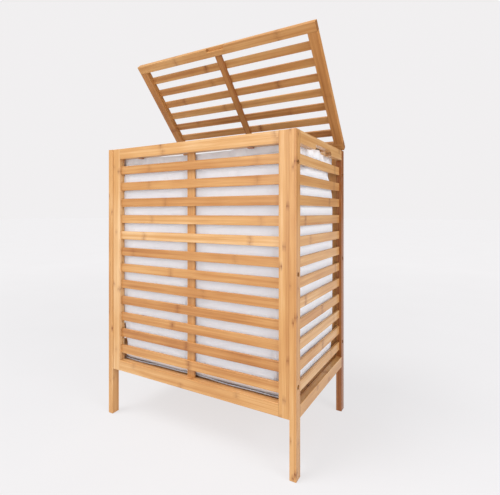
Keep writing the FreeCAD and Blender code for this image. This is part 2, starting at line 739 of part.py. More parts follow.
def hinge_leaf(label, up):
    """A hinge leaf about its pin: up is 1 for the lid's leaf and -1 for the body's."""
    body = new_body(label)
    plate_y = "-hinge_reach - leaf_width / 2"
    plate_z = f"{up} * (lid_gap / 2 + leaf_thick / 2)"
    plate = rectangle(
        body, "plate", "XY_Plane", "hinge_length", "leaf_width", ("0", plate_y, plate_z)
    )
    pad(body, plate, "leaf_thick")
    outer_length = "((hinge_length - hinge_knuckle) / 2 - knuckle_gap)"
    if up > 0:
        knuckles = [("middle", "0", "hinge_knuckle")]
    else:
        shift = f"(hinge_length - {outer_length}) / 2"
        knuckles = [
            ("left", f"-({shift})", outer_length),
            ("right", shift, outer_length),
        ]
    for name, x, length in knuckles:
        strip = "hinge_reach + 1"
        middle = "-(hinge_reach + 1) / 2"
        tab = rectangle(body, f"{name}_tab", "XY_Plane", length, strip, (x, middle, plate_z))
        pad(body, tab, "leaf_thick")
        barrel = circle(body, f"{name}_barrel", "YZ_Plane", "knuckle_diameter", ("0", "0", x))
        pad(body, barrel, length)
    bore = circle(
        body, "bore", "YZ_Plane", "pin_diameter + pin_play", ("0", "0", "hinge_length / 2")
    )
    pocket(body, bore, "hinge_length")
    # The screw heads sink into the face that the other leaf closes on.
    face = f"{up} * lid_gap / 2"
    hole = circle(
        body, "screw", "XY_Plane", "screw_diameter + 0.1", ("-screw_spacing", plate_y, face)
    )
    cut = pocket(body, hole, "leaf_thick")
    repeat(body, cut, "x", "screw_spacing", "3")
    level = up * size("lid_gap") / 2
    bore_radius = (size("screw_diameter") + 0.1) / 2

    def at_mouth(edge):
        box = edge.BoundBox
        flat = abs(box.ZMax - level) < 1e-6 and box.ZLength < 1e-6
        return flat and abs(box.XLength - 2 * bore_radius) < 1e-3

    sink = "(screw_head_diameter - screw_diameter) / 2"
    dress(body, "Chamfer", "Size", sink, at_mouth)
    return keep(body)


def hinge_pin():
    """A pin with a button at each end, lying along X."""
    body = rod("hinge_pin", "x", "pin_diameter", "hinge_length")
    for name, sign in SIDES.items():
        spot = ("0", "0", f"{sign} * (hinge_length + pin_head_length) / 2")
        button = circle(body, f"{name}_button", "YZ_Plane", "pin_head_diameter", spot)
        pad(body, button, "pin_head_length")
    return body


def screw(label):
    """A countersunk screw; the flat of its head is at its origin, the shank below."""
    sink = "(screw_head_diameter - screw_diameter) / 2"
    head = doc.addObject("Part::Cone", f"{label}_head")
    bind(head, "Radius1", "screw_diameter / 2")
    bind(head, "Radius2", "screw_head_diameter / 2")
    bind(head, "Height", sink)
    bind(head, "Placement.Base.z", f"-{sink}")
    shank = doc.addObject("Part::Cylinder", f"{label}_shank")
    bind(shank, "Radius", "screw_diameter / 2")
    bind(shank, "Height", f"screw_length - {sink} - screw_diameter / 2")
    bind(shank, "Placement.Base.z", "screw_diameter / 2 - screw_length")
    tip = doc.addObject("Part::Cone", f"{label}_tip")
    tip.Radius1 = 0
    bind(tip, "Radius2", "screw_diameter / 2")
    bind(tip, "Height", "screw_diameter / 2")
    bind(tip, "Placement.Base.z", "-screw_length")
    blank = doc.addObject("Part::MultiFuse", f"{label}_blank")
    blank.Shapes = [head, shank, tip]
    slots = []
    for name, turn in (("slot", 0), ("cross", 90)):
        slot = doc.addObject("Part::Box", f"{label}_{name}")
        bind(slot, "Length", "screw_diameter")
        bind(slot, "Width", "screw_diameter / 5")
        bind(slot, "Height", sink)
        long_half = "-screw_diameter / 2"
        short_half = "screw_diameter / 10"
        bind(slot, "Placement.Base.x", short_half if turn else long_half)
        bind(slot, "Placement.Base.y", long_half if turn else f"-{short_half}")
        bind(slot, "Placement.Base.z", f"-{sink} / 2")
        slot.Placement.Rotation = FreeCAD.Rotation(FreeCAD.Vector(0, 0, 1), turn)
        slots.append(slot)
    recess = doc.addObject("Part::MultiFuse", f"{label}_recess")
    recess.Shapes = slots
    cut = doc.addObject("Part::Cut", label)
    cut.Base = blank
    cut.Tool = recess
    return cut


def place_upside_down_on_lid(item, spot):
    """As place_on_lid, turned half over about X so that it points up into the lid."""
    place_on_lid(item, spot)
    item.setExpression("Placement.Rotation.Angle", None)
    half_turn = FreeCAD.Rotation(FreeCAD.Vector(1, 0, 0), 180)
    tilt = FreeCAD.Rotation(FreeCAD.Vector(-1, 0, 0), size("open_angle"))
    item.Placement.Rotation = tilt.multiply(half_turn)


def hinges():
    """Two butt hinges, their pins and their screws."""
    pin_spots = []
    for side, sign in SIDES.items():
        x = f"{sign} * hinge_place"
        place(hinge_leaf(f"hinge_{side}_body_leaf", -1), (x, HINGE_Y, HINGE_Z))
        place_on_lid(hinge_leaf(f"hinge_{side}_lid_leaf", 1), (x, "0", "0"))
        pin_spots.append((x, HINGE_Y, HINGE_Z))
    group("hinge_pins", copies(hinge_pin(), pin_spots, place))
    y = "-hinge_reach - leaf_width / 2"
    steps = [(sign, k) for sign in SIDES.values() for k in (-1, 0, 1)]
    xs = [f"{sign} * hinge_place + {k} * screw_spacing" for sign, k in steps]
    body_spots = [(x, f"{HINGE_Y} + {y}", f"{HINGE_Z} - lid_gap / 2") for x in xs]
    lid_spots = [(x, y, "lid_gap / 2") for x in xs]
    group("hinge_body_screws", copies(screw("body_screw"), body_spots, place))
    group("hinge_lid_screws", copies(screw("lid_screw"), lid_spots, place_upside_down_on_lid))


def check():
    """Stop on a failed feature, a cut that cut nothing, or a shape that isn't sound."""
    for item in doc.Objects:
        if "Invalid" in item.State or "Error" in item.State:
            raise RuntimeError(f"{item.Label} failed: {item.State}")
        if item.TypeId == "PartDesign::Pocket":
            if item.Shape.Volume > item.BaseFeature.Shape.Volume - 1e-3:
                raise RuntimeError(f"{item.Label} cuts nothing")
    for node in nodes:
        if node.Shape.isNull() or not node.Shape.isValid():
            raise RuntimeError(f"{node.Label} has no sound shape")


fill_sheet()
for side_name in SIDES:
    side_panel(side_name)
panel("front", -1)
panel("back", 1)
dowels()
corner_fasteners()
base()
liner()
pegs()
lid()
hinges()
doc.recompute()
check()

os.makedirs("parts", exist_ok=True)
for node in nodes:
    node.Shape.exportStep(f"parts/{node.Label}.step")
print(len(nodes), "pieces")
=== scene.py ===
# %% [markdown]
# # A slatted bamboo laundry hamper
# The hamper is already built to size as a CAD model: four slatted panels bolted together
# and a slatted lid on two hinges. Here it gets its bamboo, its metal and its cotton bag.
# Everything is in metres, +X to the right, +Y to the back, +Z up, with the lid standing open.

import math
import random

import bmesh
import bpy
from mathutils import Euler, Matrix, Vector


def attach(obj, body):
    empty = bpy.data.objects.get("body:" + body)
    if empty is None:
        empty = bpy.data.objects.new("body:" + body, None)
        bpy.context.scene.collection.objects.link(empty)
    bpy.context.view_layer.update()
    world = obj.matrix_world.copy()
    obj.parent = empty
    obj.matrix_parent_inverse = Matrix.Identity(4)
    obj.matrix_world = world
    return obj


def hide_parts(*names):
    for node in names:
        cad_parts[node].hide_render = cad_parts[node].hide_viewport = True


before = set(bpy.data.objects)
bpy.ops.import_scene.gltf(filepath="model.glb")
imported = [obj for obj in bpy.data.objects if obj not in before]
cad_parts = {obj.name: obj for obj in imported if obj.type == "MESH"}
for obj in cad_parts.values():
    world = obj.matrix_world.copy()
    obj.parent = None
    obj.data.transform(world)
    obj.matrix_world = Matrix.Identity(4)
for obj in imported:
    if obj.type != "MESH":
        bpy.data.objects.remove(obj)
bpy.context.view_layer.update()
scene = bpy.context.scene
scene.view_settings.view_transform = "Standard"
print(len(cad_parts), "CAD pieces")

# %% [markdown]
# ## Camera, floor and light
# A level camera keeps the legs upright. It stands to the front right, at about the height
# of the middle of the hamper, and a small downward shift brings in the feet.
# The floor and the sky are nearly white, so that the honey-coloured wood stands out.

# %% Camera
BODY_MIDDLE_Y = -0.00498
camera_data = bpy.data.cameras.new("camera")
camera_data.lens = 27.4
camera_data.sensor_width = 36
camera_data.shift_y = -0.0697
camera = bpy.data.objects.new("camera", camera_data)
camera.location = (0.5271, -0.8092 + BODY_MIDDLE_Y, 0.5003)
camera.rotation_euler = (math.radians(90), 0, math.radians(29.69))
scene.collection.objects.link(camera)
scene.camera = camera


# %% A short way to build node trees
def add(tree, kind, inputs=None, **settings):
    """A new node with its settings; an input takes a value or another node's output."""
    node = tree.nodes.new(kind)
    for key, value in settings.items():
        setattr(node, key, value)
    for key, value in (inputs or {}).items():
        if isinstance(value, bpy.types.NodeSocket):
            tree.links.new(value, node.inputs[key])
        else:
            node.inputs[key].default_value = value
    return node


def calc(tree, operation, *values):
    """The output of a Math node."""
    return add(tree, "ShaderNodeMath", dict(enumerate(values)), operation=operation).outputs[0]


def new_material(name):
    """An empty material with its tree, its shader and its object coordinates."""
    material = bpy.data.materials.new(name)
    material.use_nodes = True
    tree = material.node_tree
    shader = tree.nodes["Principled BSDF"]
    place = add(tree, "ShaderNodeTexCoord").outputs["Object"]
    return material, tree, shader, place


def ramp(tree, factor, stops):
    """A colour ramp with (position, linear colour) stops."""
    node = add(tree, "ShaderNodeValToRGB", {"Fac": factor})
    elements = node.color_ramp.elements
    while len(elements) < len(stops):
        elements.new(0.5)
    for element, (position, colour) in zip(elements, stops):
        element.position = position
        element.color = (*colour, 1)
    return node.outputs["Color"]


# %% Floor
FLOOR_SIZE = 60
FLOOR_DROP = -0.0005
PAPER_DARK = (0.155, 0.155, 0.16)
PAPER_PALE = (0.165, 0.165, 0.17)
bpy.ops.object.select_all(action="DESELECT")
bpy.ops.mesh.primitive_plane_add(size=FLOOR_SIZE, location=(0, 0, FLOOR_DROP))
floor = bpy.context.object
floor.name = "floor"
floor_material, tree, shader, place = new_material("floor_paper")
grain = add(tree, "ShaderNodeTexNoise", {"Vector": place, "Scale": 3.0, "Detail": 3.0})
paper = ramp(tree, grain.outputs["Fac"], [(0.3, PAPER_DARK), (0.7, PAPER_PALE)])
tree.links.new(paper, shader.inputs["Base Color"])
shader.inputs["Roughness"].default_value = 0.9
shader.inputs["Specular IOR Level"].default_value = 0.0
# The sheet glows a little more where the lamps no longer reach it.
GLOW_NEAR = 0.69
GLOW_FAR = 0.75
GLOW_FROM = 0.8
GLOW_TO = 3.0
away = add(tree, "ShaderNodeVectorMath", {0: place}, operation="LENGTH").outputs["Value"]
away = calc(tree, "DIVIDE", calc(tree, "SUBTRACT", away, GLOW_FROM), GLOW_TO - GLOW_FROM)
away = calc(tree, "MINIMUM", calc(tree, "MAXIMUM", away, 0.0), 1.0)
glow = calc(tree, "MULTIPLY_ADD", away, GLOW_FAR - GLOW_NEAR, GLOW_NEAR)
tree.links.new(glow, shader.inputs["Emission Strength"])
shader.inputs["Emission Color"].default_value = (1.0, 0.982, 0.99, 1)
floor.data.materials.append(floor_material)

# %% Sky
# The sky is plain behind the hamper, and as a lamp it is brightest above and to the front.
world = bpy.data.worlds.new("studio")
world.use_nodes = True
tree = world.node_tree
direction = add(tree, "ShaderNodeTexCoord").outputs["Generated"]
SKY_BRIGHTEST = (-0.32, -0.55, 0.77)
SKY_PEAK = 0.8
SKY_BASE = 0.1
SKY_COLOUR = (0.96, 0.98, 1, 1)
BACKDROP_COLOUR = (0.88, 0.865, 0.872, 1)
toward = add(
    tree, "ShaderNodeVectorMath", {0: direction, 1: SKY_BRIGHTEST}, operation="DOT_PRODUCT"
).outputs["Value"]
glow = calc(tree, "POWER", calc(tree, "MAXIMUM", toward, 0.0), 1.5)
glow = calc(tree, "MULTIPLY_ADD", glow, SKY_PEAK, SKY_BASE)
lighting = add(tree, "ShaderNodeBackground", {"Color": SKY_COLOUR, "Strength": glow})
backdrop = add(tree, "ShaderNodeBackground", {"Color": BACKDROP_COLOUR, "Strength": 1.0})
seen = add(tree, "ShaderNodeLightPath").outputs["Is Camera Ray"]
both = add(tree, "ShaderNodeMixShader", {0: seen, 1: lighting.outputs[0], 2: backdrop.outputs[0]})
tree.links.new(both.outputs[0], tree.nodes["World Output"].inputs["Surface"])
scene.world = world


# %% Lamps
def sun(name, heading, strength, softness, colour):
    """A distant lamp that shines along a heading."""
    data = bpy.data.lights.new(name, "SUN")
    data.energy = strength
    data.angle = math.radians(softness)
    data.color = colour
    lamp = bpy.data.objects.new(name, data)
    lamp.rotation_euler = Vector(heading).to_track_quat("-Z", "Y").to_euler()
    scene.collection.objects.link(lamp)


def softbox(name, spot, aim, size, watts, colour):
    """A square area lamp that looks at a point."""
    data = bpy.data.lights.new(name, "AREA")
    data.size = size
    data.energy = watts
    data.color = colour
    lamp = bpy.data.objects.new(name, data)
    lamp.location = spot
    lamp.rotation_euler = (Vector(aim) - Vector(spot)).to_track_quat("-Z", "Y").to_euler()
    scene.collection.objects.link(lamp)


WARM_WHITE = (1.0, 0.985, 0.96)
COOL_WHITE = (0.96, 0.985, 1.0)
SIDE_WHITE = (0.96, 0.98, 1.0)
BOX_SIZE = 1.2
PANEL_MIDDLE = (0, -0.1, 0.5)
SIDE_MIDDLE = (0.25, 0, 0.4)
sun("above", (0.35, 0.42, -1.0), 1.5, 25, WARM_WHITE)
softbox("front", (-0.5, -1.55, 1.75), PANEL_MIDDLE, BOX_SIZE, 10, COOL_WHITE)
softbox("low_front", (-0.5, -2.6, 0.7), PANEL_MIDDLE, BOX_SIZE, 10, COOL_WHITE)
softbox("side_fill", (2.2, -0.7, 1.2), SIDE_MIDDLE, BOX_SIZE, 34, SIDE_WHITE)

# %% [markdown]
# ## Bamboo
# A bamboo board is glued up from long strips. Each strip has its own tone, and about every
# quarter of a metre it carries the brown band of a joint of the cane. Between them run
# fine straight fibres, and the sawn ends are darker. All of it is made from the object
# coordinates, turned so that the grain lies along the board, and each board's strips are
# fitted to its own size. A clear lacquer lies over the wood, thinner on the lid, and mirrors
# a little of the bright cloth and sky, most of all where it is seen at a low angle.

# %% Bamboo material
CANE_JOINT_SPACING = 0.29
LID_TILT = 47.7
ALONG_X = (0, 0, 0)
ALONG_Y = (0, 0, -90)
ALONG_Z = (0, 90, 0)
LID_ACROSS = (LID_TILT, 0, 0)
LID_ALONG = (LID_TILT, 0, 90)
WOOD_TONES = [
    (0.0, (0.27, 0.082, 0.017)),
    (0.33, (0.48, 0.205, 0.058)),
    (0.62, (0.63, 0.330, 0.118)),
    (1.0, (0.82, 0.56, 0.31)),
]
FIBRE_SHARE = 0.45
BAND_SHARE = 0.65
CLOUD_SHARE = 0.5
JOINT_CORE = 0.0026
JOINT_HALO = 0.0110
LID_LACQUER = 0.1
BODY_LACQUER = 0.45
JOINT_BROWN = (0.235, 0.068, 0.016, 1)
END_BROWN = (0.20, 0.070, 0.018, 1)


def mix_colour(tree, share, first, second):
    """A blend of two colours; the second is a plain colour."""
    node = add(tree, "ShaderNodeMix", data_type="RGBA")
    sockets = [socket for socket in node.inputs if socket.type == "RGBA"]
    tree.links.new(share, node.inputs[0])
    tree.links.new(first, sockets[0])
    sockets[1].default_value = second
    return next(socket for socket in node.outputs if socket.type == "RGBA")


def bamboo(node, turn, strips, tone, seed, contrast=0.2):
    """Bamboo for one CAD piece, its grain turned to the board's length.
    strips is how many strips make up the board's (thickness, width)."""
    material, tree, shader, place = new_material(f"bamboo_{node}")
    rotation = Euler([math.radians(angle) for angle in turn])
    turned_back = rotation.to_matrix()
    points = [turned_back @ vertex.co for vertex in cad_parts[node].data.vertices]
    low = [min(point[axis] for point in points) for axis in range(3)]
    high = [max(point[axis] for point in points) for axis in range(3)]
    strip = [(high[axis] - low[axis]) / strips[axis - 1] for axis in (1, 2)]
    start = [strip[k] * (200 + 7 * seed) - low[k + 1] for k in (0, 1)]
    turned = add(
        tree,
        "ShaderNodeMapping",
        {"Vector": place, "Rotation": tuple(rotation), "Location": (10 + 0.37 * seed, *start)},
    ).outputs[0]
    cell = add(
        tree, "ShaderNodeVectorMath", {0: turned, 1: (1000, *strip)}, operation="SNAP"
    ).outputs[0]
    dice = add(tree, "ShaderNodeTexWhiteNoise", {"Vector": cell}, noise_dimensions="3D")
    dice = add(tree, "ShaderNodeSeparateColor", {0: dice.outputs["Color"]}).outputs
    along = add(tree, "ShaderNodeSeparateXYZ", {0: turned}).outputs[0]

    def streaks(scale, detail):
        stretched = add(tree, "ShaderNodeMapping", {"Vector": turned, "Scale": scale}).outputs[0]
        noise = {"Vector": stretched, "Scale": 1.0, "Detail": detail}
        return add(tree, "ShaderNodeTexNoise", noise).outputs["Fac"]

    def centred(source, amount, base):
        return calc(tree, "MULTIPLY_ADD", calc(tree, "SUBTRACT", source, 0.5), amount, base)

    fibre = streaks((16, 1100, 1100), 3.0)
    band = streaks((2.2, 150, 150), 2.0)
    cloud = streaks((7, 25, 25), 2.0)
    level = centred(dice[0], contrast, 0.5 + tone)
    for source, amount in ((fibre, FIBRE_SHARE), (band, BAND_SHARE), (cloud, CLOUD_SHARE)):
        level = centred(source, amount, level)
    wood = ramp(tree, level, WOOD_TONES)

    # The cane's joints: a brown band at a different place along each strip.
    wobble = calc(tree, "MULTIPLY_ADD", streaks((1, 130, 130), 1.0), 0.007, along)
    turns = calc(tree, "ADD", calc(tree, "DIVIDE", wobble, CANE_JOINT_SPACING), dice[1])
    off = calc(tree, "ABSOLUTE", calc(tree, "SUBTRACT", calc(tree, "FRACT", turns), 0.5))

    def falling(reach):
        slope = calc(tree, "MULTIPLY_ADD", off, -CANE_JOINT_SPACING / reach, 1.0)
        return calc(tree, "MAXIMUM", slope, 0.0)

    patchy = calc(tree, "MULTIPLY_ADD", streaks((40, 170, 170), 2.0), 1.5, -0.2)
    mark = calc(tree, "MULTIPLY_ADD", falling(JOINT_CORE), 0.35, 0.0)
    mark = calc(tree, "MULTIPLY_ADD", falling(JOINT_HALO), 0.85, mark)
    mark = calc(tree, "MULTIPLY", calc(tree, "MAXIMUM", patchy, 0.0), mark)
    mark = calc(tree, "MULTIPLY", mark, calc(tree, "MULTIPLY_ADD", dice[2], 0.9, 0.35))
    pores = calc(tree, "GREATER_THAN", streaks((45, 1500, 1500), 1.0), 0.68)
    mark = calc(tree, "MULTIPLY_ADD", pores, 0.14, mark)
    colour = mix_colour(tree, mark, wood, JOINT_BROWN)

    # The sawn ends, where the surface faces along the grain.
    grain = tuple(turned_back.transposed() @ Vector((1, 0, 0)))
    facing = add(tree, "ShaderNodeTexCoord").outputs["Normal"]
    ends = add(
        tree, "ShaderNodeVectorMath", {0: facing, 1: grain}, operation="DOT_PRODUCT"
    ).outputs["Value"]
    ends = calc(tree, "GREATER_THAN", calc(tree, "ABSOLUTE", ends), 0.75)
    vessels = streaks((1, 900, 900), 2.0)
    ends = calc(tree, "MULTIPLY", ends, calc(tree, "MULTIPLY_ADD", vessels, 0.8, 0.25))
    colour = mix_colour(tree, ends, colour, END_BROWN)
    tree.links.new(colour, shader.inputs["Base Color"])

    rough = calc(tree, "MULTIPLY_ADD", fibre, 0.2, 0.38)
    tree.links.new(rough, shader.inputs["Roughness"])
    shader.inputs["Specular IOR Level"].default_value = 0.25
    lacquer = LID_LACQUER if node.startswith("lid") else BODY_LACQUER
    shader.inputs["Coat Weight"].default_value = lacquer
    shader.inputs["Coat Roughness"].default_value = 0.22
    height = calc(tree, "MULTIPLY_ADD", mark, 0.6, fibre)
    bump = {"Height": height, "Strength": 0.3, "Distance": 0.0002}
    normal = add(tree, "ShaderNodeBump", bump).outputs["Normal"]
    tree.links.new(normal, shader.inputs["Normal"])
    return material


def finish_node(node, material):
    """Give a CAD piece its real finish."""
    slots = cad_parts[node].data.materials
    slots.clear()
    slots.append(material)


# %% [markdown]
# The boards aren't all alike. Legs and stiles are glued up from narrow strips, so they show
# stripes, and a thin slat is one wide strip. A maker takes what comes off the saw, so a board
# is lighter or darker than its neighbour: some tones are chosen here and some are drawn by lot.
# The rear legs and all the lid's boards are given much lower tones, and that is painted shade:
# it darkens them for the shade behind the body and on the open lid's underside.

# %% Bamboo on the boards
tones = random.Random(12)
seed = 0


def board(node, turn, strips, tone=None, contrast=0.2):
    """Bamboo on one CAD piece, with a tone of its own."""
    global seed
    seed += 1
    own = tones.uniform(-0.07, 0.07)
    tone = own if tone is None else tone
    finish_node(node, bamboo(node, turn, strips, tone, seed, contrast))


STILE_TONES = {"left": 0.22, "right": 0.08}
# The rear legs' much lower tone is painted shade, for the shade they stand in behind the body.
LEG_TONES_WITH_REAR_PAINTED_SHADE = {"front": 0.02, "rear": -0.4}
FRONT_SLAT_TONES = [-0.06, -0.04, -0.1, -0.02, 0.14, -0.1, -0.05, 0.0, -0.08, -0.03, -0.08, -0.04]
for number, tone in enumerate(FRONT_SLAT_TONES, start=1):
    board(f"front_slat_{number:02d}", ALONG_X, (1, 1), tone)
GROUP_CELLS = 23
BASE_CELLS = 80
board("back_slats", ALONG_X, (1, GROUP_CELLS), -0.04)
for side in ("left", "right"):
    board(f"{side}_slats", ALONG_Y, (1, GROUP_CELLS), 0.08)
    for panel in ("front", "back"):
        board(f"{panel}_stile_{side}", ALONG_Z, (3, 3), STILE_TONES[side], 0.14)
    for end in ("front", "rear"):
        board(f"{side}_{end}_leg", ALONG_Z, (3, 3), LEG_TONES_WITH_REAR_PAINTED_SHADE[end], 0.2)
    for level in ("top", "bottom"):
        board(f"{side}_{level}_rail", ALONG_Y, (1, 2), 0.14)
    # The lid stiles' low tone is painted shade, for the shade on the open lid's underside.
    board(f"lid_stile_{side}", LID_ALONG, (1, 1), -0.14)
for panel in ("front", "back"):
    board(f"{panel}_centre_stile", ALONG_Z, (1, 1), -0.04)
    for level, tone in (("top", 0.14), ("bottom", 0.02)):
        board(f"{panel}_{level}_rail", ALONG_X, (1, 2), tone, 0.12)
    board(f"base_cleat_{panel}", ALONG_X, (1, 1))
board("base_slats", ALONG_Y, (BASE_CELLS, 1), 0)
# The lid's rails, centre stile and slats get low tones, the slats' partly drawn by lot: the
# darkening is painted shade for the lid's shaded underside.
for end in ("front", "rear"):
    board(f"lid_{end}_rail", LID_ACROSS, (1, 1), -0.1)
board("lid_centre_stile", LID_ALONG, (1, 1), -0.32)
for number in range(1, 8):
    board(f"lid_slat_{number}", LID_ACROSS, (1, 1), tones.uniform(-0.16, -0.04))
board("frame_dowels", ALONG_X, (1, 1), 0.2)
board("liner_pegs", ALONG_X, (1, 1), -0.5)
print(seed, "bamboo boards")

# %% [markdown]
# ## Metal
# The bolts are blackened steel, sunk deep in their holes, and their near-black colour is also
# painted shade for the dark holes. The hinges are brushed steel, drawn lengthwise, so their
# scratches run along X, and the inserts are turned brass.


# %% Metal materials
def metal(name, colour, roughness, scratch_scale, scratch_depth):
    """Metal with fine scratches in its roughness, its colour and its relief."""
    material, tree, shader, place = new_material(name)
    stretched = add(tree, "ShaderNodeMapping", {"Vector": place, "Scale": scratch_scale})
    noise = {"Vector": stretched.outputs[0], "Scale": 1.0, "Detail": 4.0}
    scratches = add(tree, "ShaderNodeTexNoise", noise).outputs["Fac"]
    darker = tuple(0.72 * part for part in colour)
    tint = ramp(tree, scratches, [(0.3, darker), (0.7, colour)])
    tree.links.new(tint, shader.inputs["Base Color"])
    spread = calc(tree, "MULTIPLY_ADD", scratches, 0.25, roughness - 0.12)
    tree.links.new(spread, shader.inputs["Roughness"])
    shader.inputs["Metallic"].default_value = 1.0
    bump = {"Height": scratches, "Strength": 0.3, "Distance": scratch_depth}
    tree.links.new(add(tree, "ShaderNodeBump", bump).outputs[0], shader.inputs["Normal"])
    return material


BRUSHED = (60, 4000, 4000)
EVEN = (900, 900, 900)
hinge_steel = metal("hinge_steel", (0.62, 0.60, 0.57), 0.34, BRUSHED, 0.00003)
screw_steel = metal("screw_steel", (0.66, 0.64, 0.60), 0.28, EVEN, 0.00002)
# The bolts' near-black colour is blackened steel and also painted shade for the deep, dark holes.
bolt_steel = metal("bolt_steel", (0.02, 0.019, 0.018), 0.5, EVEN, 0.00003)
insert_brass = metal("insert_brass", (0.70, 0.50, 0.22), 0.32, EVEN, 0.00002)
for side in ("left", "right"):
    for leaf in ("body", "lid"):
        finish_node(f"hinge_{side}_{leaf}_leaf", hinge_steel)
for node in ("hinge_pins", "hinge_body_screws", "hinge_lid_screws"):
    finish_node(node, screw_steel)
finish_node("corner_bolts", bolt_steel)
finish_node("corner_inserts", insert_brass)

# %% [markdown]
# ## The cotton bag
# The bag hangs from four pegs by cord loops and stands on the base slats. It is sewn a
# little wider than the space it hangs in, so its cloth buckles into soft upright folds
# between the gathered hem and the bottom seam. That is what cloth simulation is for:
# the plain tube below grows by a few per cent while its hem and its bottom stay put.
# Afterwards no point of the cloth is let out past the slats or the centre stiles.

# %% The bag's outline
BAG_HALF_X = 0.2320
BAG_HALF_Y = 0.1315
BAG_CORNER = 0.018
BAG_BOTTOM = 0.1345
FULL_TURN = 6.2832
RIM_ALONG_FRONT = (
    (0.0, 0.6287), (0.088, 0.6300), (0.115, 0.6335), (0.151, 0.6360), (0.232, 0.6380),
)
RIM_ALONG_SIDES = (
    (-0.1315, 0.6380), (-0.100, 0.6395), (0.020, 0.6405), (0.050, 0.6350), (0.075, 0.6340),
    (0.100, 0.6345), (0.1315, 0.6380),
)


def outline(share):
    """(point, outward direction) at a share of the way round the bag, seen from above."""
    flat_x = 2 * (BAG_HALF_X - BAG_CORNER)
    flat_y = 2 * (BAG_HALF_Y - BAG_CORNER)
    bend = math.pi / 2 * BAG_CORNER
    reach = share * 2 * (flat_x + flat_y + 2 * bend)
    spot = Vector((BAG_HALF_X, -flat_y / 2, 0))
    heading = math.pi / 2
    for straight in (flat_y, flat_x, flat_y, flat_x):
        ahead = Vector((math.cos(heading), math.sin(heading), 0))
        out = Vector((ahead.y, -ahead.x, 0))
        if reach <= straight:
            return spot + ahead * reach, out
        spot += ahead * straight
        reach -= straight
        if reach <= bend:
            turned = reach / BAG_CORNER
            normal = out * math.cos(turned) + ahead * math.sin(turned)
            return spot - out * BAG_CORNER + normal * BAG_CORNER, normal
        spot += (ahead - out) * BAG_CORNER
        heading += math.pi / 2
        reach -= bend
    return Vector((BAG_HALF_X, -flat_y / 2, 0)), Vector((1, 0, 0))


BAG_ROUND = 4 * (BAG_HALF_X + BAG_HALF_Y - 2 * BAG_CORNER) + 2 * math.pi * BAG_CORNER
folds = random.Random(5)
FOLD_SIZES = ((0.052, 0.0011), (0.037, 0.0009), (0.083, 0.0009), (0.021, 0.00035))
FOLD_WAVES = [
    (round(BAG_ROUND / length), folds.uniform(0, 6.28), size) for length, size in FOLD_SIZES
]


def gather(share):
    """How far the gathered hem stands in or out at a share of the way round."""
    return sum(
        size * math.sin(FULL_TURN * count * share + shift) for count, shift, size in FOLD_WAVES
    )


def between(table, place):
    """Read a height off a table of (place, height), easing from one entry to the next."""
    for (first, low), (last, high) in zip(table, table[1:]):
        if place <= last:
            part = max(0.0, (place - first) / (last - first))
            return low + (high - low) * part * part * (3 - 2 * part)
    return table[-1][1]


def rim_height(point):
    """The rim hangs from its loops and sags between them, in front, behind and at the sides."""
    if abs(point.x) / BAG_HALF_X > abs(point.y) / BAG_HALF_Y:
        return between(RIM_ALONG_SIDES, point.y)
    return between(RIM_ALONG_FRONT, abs(point.x))


print(f"the bag is {BAG_ROUND:.3f} m round")

# %% The bag before it hangs
COLUMNS = 168
ROWS = 58
BOTTOM_RINGS = 10
BAG_MIDDLE = Vector((0, BODY_MIDDLE_Y, 0))
HEM = 0.024
HEM_HALF_THICKNESS = 0.0017
FRONT_TUCK = 0.005
END_TUCK = 0.011
SEWN_HEIGHT = 0.009
FOLD_FADE = 0.12
TUCK_RISE = 0.045
STILE_HALF_WIDTH = 0.017
STILE_SHOULDER = 0.025
STILE_REACH = 0.1366
WALL_REACH = 0.1395
END_REACH = 0.2382


def room(x):
    """How far front or back the cloth may stand at a place along a wall: less at its middle."""
    part = min(1, max(0, (abs(x) - STILE_HALF_WIDTH) / STILE_SHOULDER))
    return STILE_REACH + (WALL_REACH - STILE_REACH) * part * part * (3 - 2 * part)


def bag_point(share, rise, proud=0.0, up=0.0):
    """A point on the bag's side; rise is 0 at the bottom and 1 at the rim."""
    point, out = outline(share)
    top = rim_height(point)
    depth = (1 - rise) * (top - BAG_BOTTOM)
    fold = gather(share) * (0.35 + 0.65 * math.exp(-depth / FOLD_FADE)) * min(1, rise / FOLD_FADE)
    tuck = END_TUCK if abs(out.x) > abs(out.y) else FRONT_TUCK
    stand = fold - tuck * (1 - min(1, rise / TUCK_RISE)) ** 2
    if abs(out.y) > 0.99:
        stand = min(stand, room(point.x) - HEM_HALF_THICKNESS - abs(point.y))
    return point + out * (stand + proud) + BAG_MIDDLE + Vector((0, 0, top - depth + up))


def bottom_point(share, number):
    """A point on one of the rings that fill the bag's bottom, number 0 being the smallest."""
    flat = (bag_point(share, 0) - BAG_MIDDLE) * ((number + 1) / BOTTOM_RINGS)
    return Vector((flat.x, flat.y, BAG_BOTTOM)) + BAG_MIDDLE


def joined(rings, closed_across=False):
    """A mesh of rings of points, each joined to the next."""
    mesh = bmesh.new()
    made = [[mesh.verts.new(point) for point in ring] for ring in rings]
    pairs = list(zip(made, made[1:])) + ([(made[-1], made[0])] if closed_across else [])
    for low, high in pairs:
        for index, vertex in enumerate(low):
            after = (index + 1) % len(low)
            mesh.faces.new((vertex, low[after], high[after], high[index]))
    return mesh, made


def keep_mesh(mesh, name, material):
    """Turn a bmesh into a piece of the bag that rides on the hamper."""
    bmesh.ops.recalc_face_normals(mesh, faces=mesh.faces)
    data = bpy.data.meshes.new(name)
    mesh.to_mesh(data)
    mesh.free()
    piece = bpy.data.objects.new(name, data)
    scene.collection.objects.link(piece)
    data.materials.append(material)
    data.shade_smooth()
    return piece


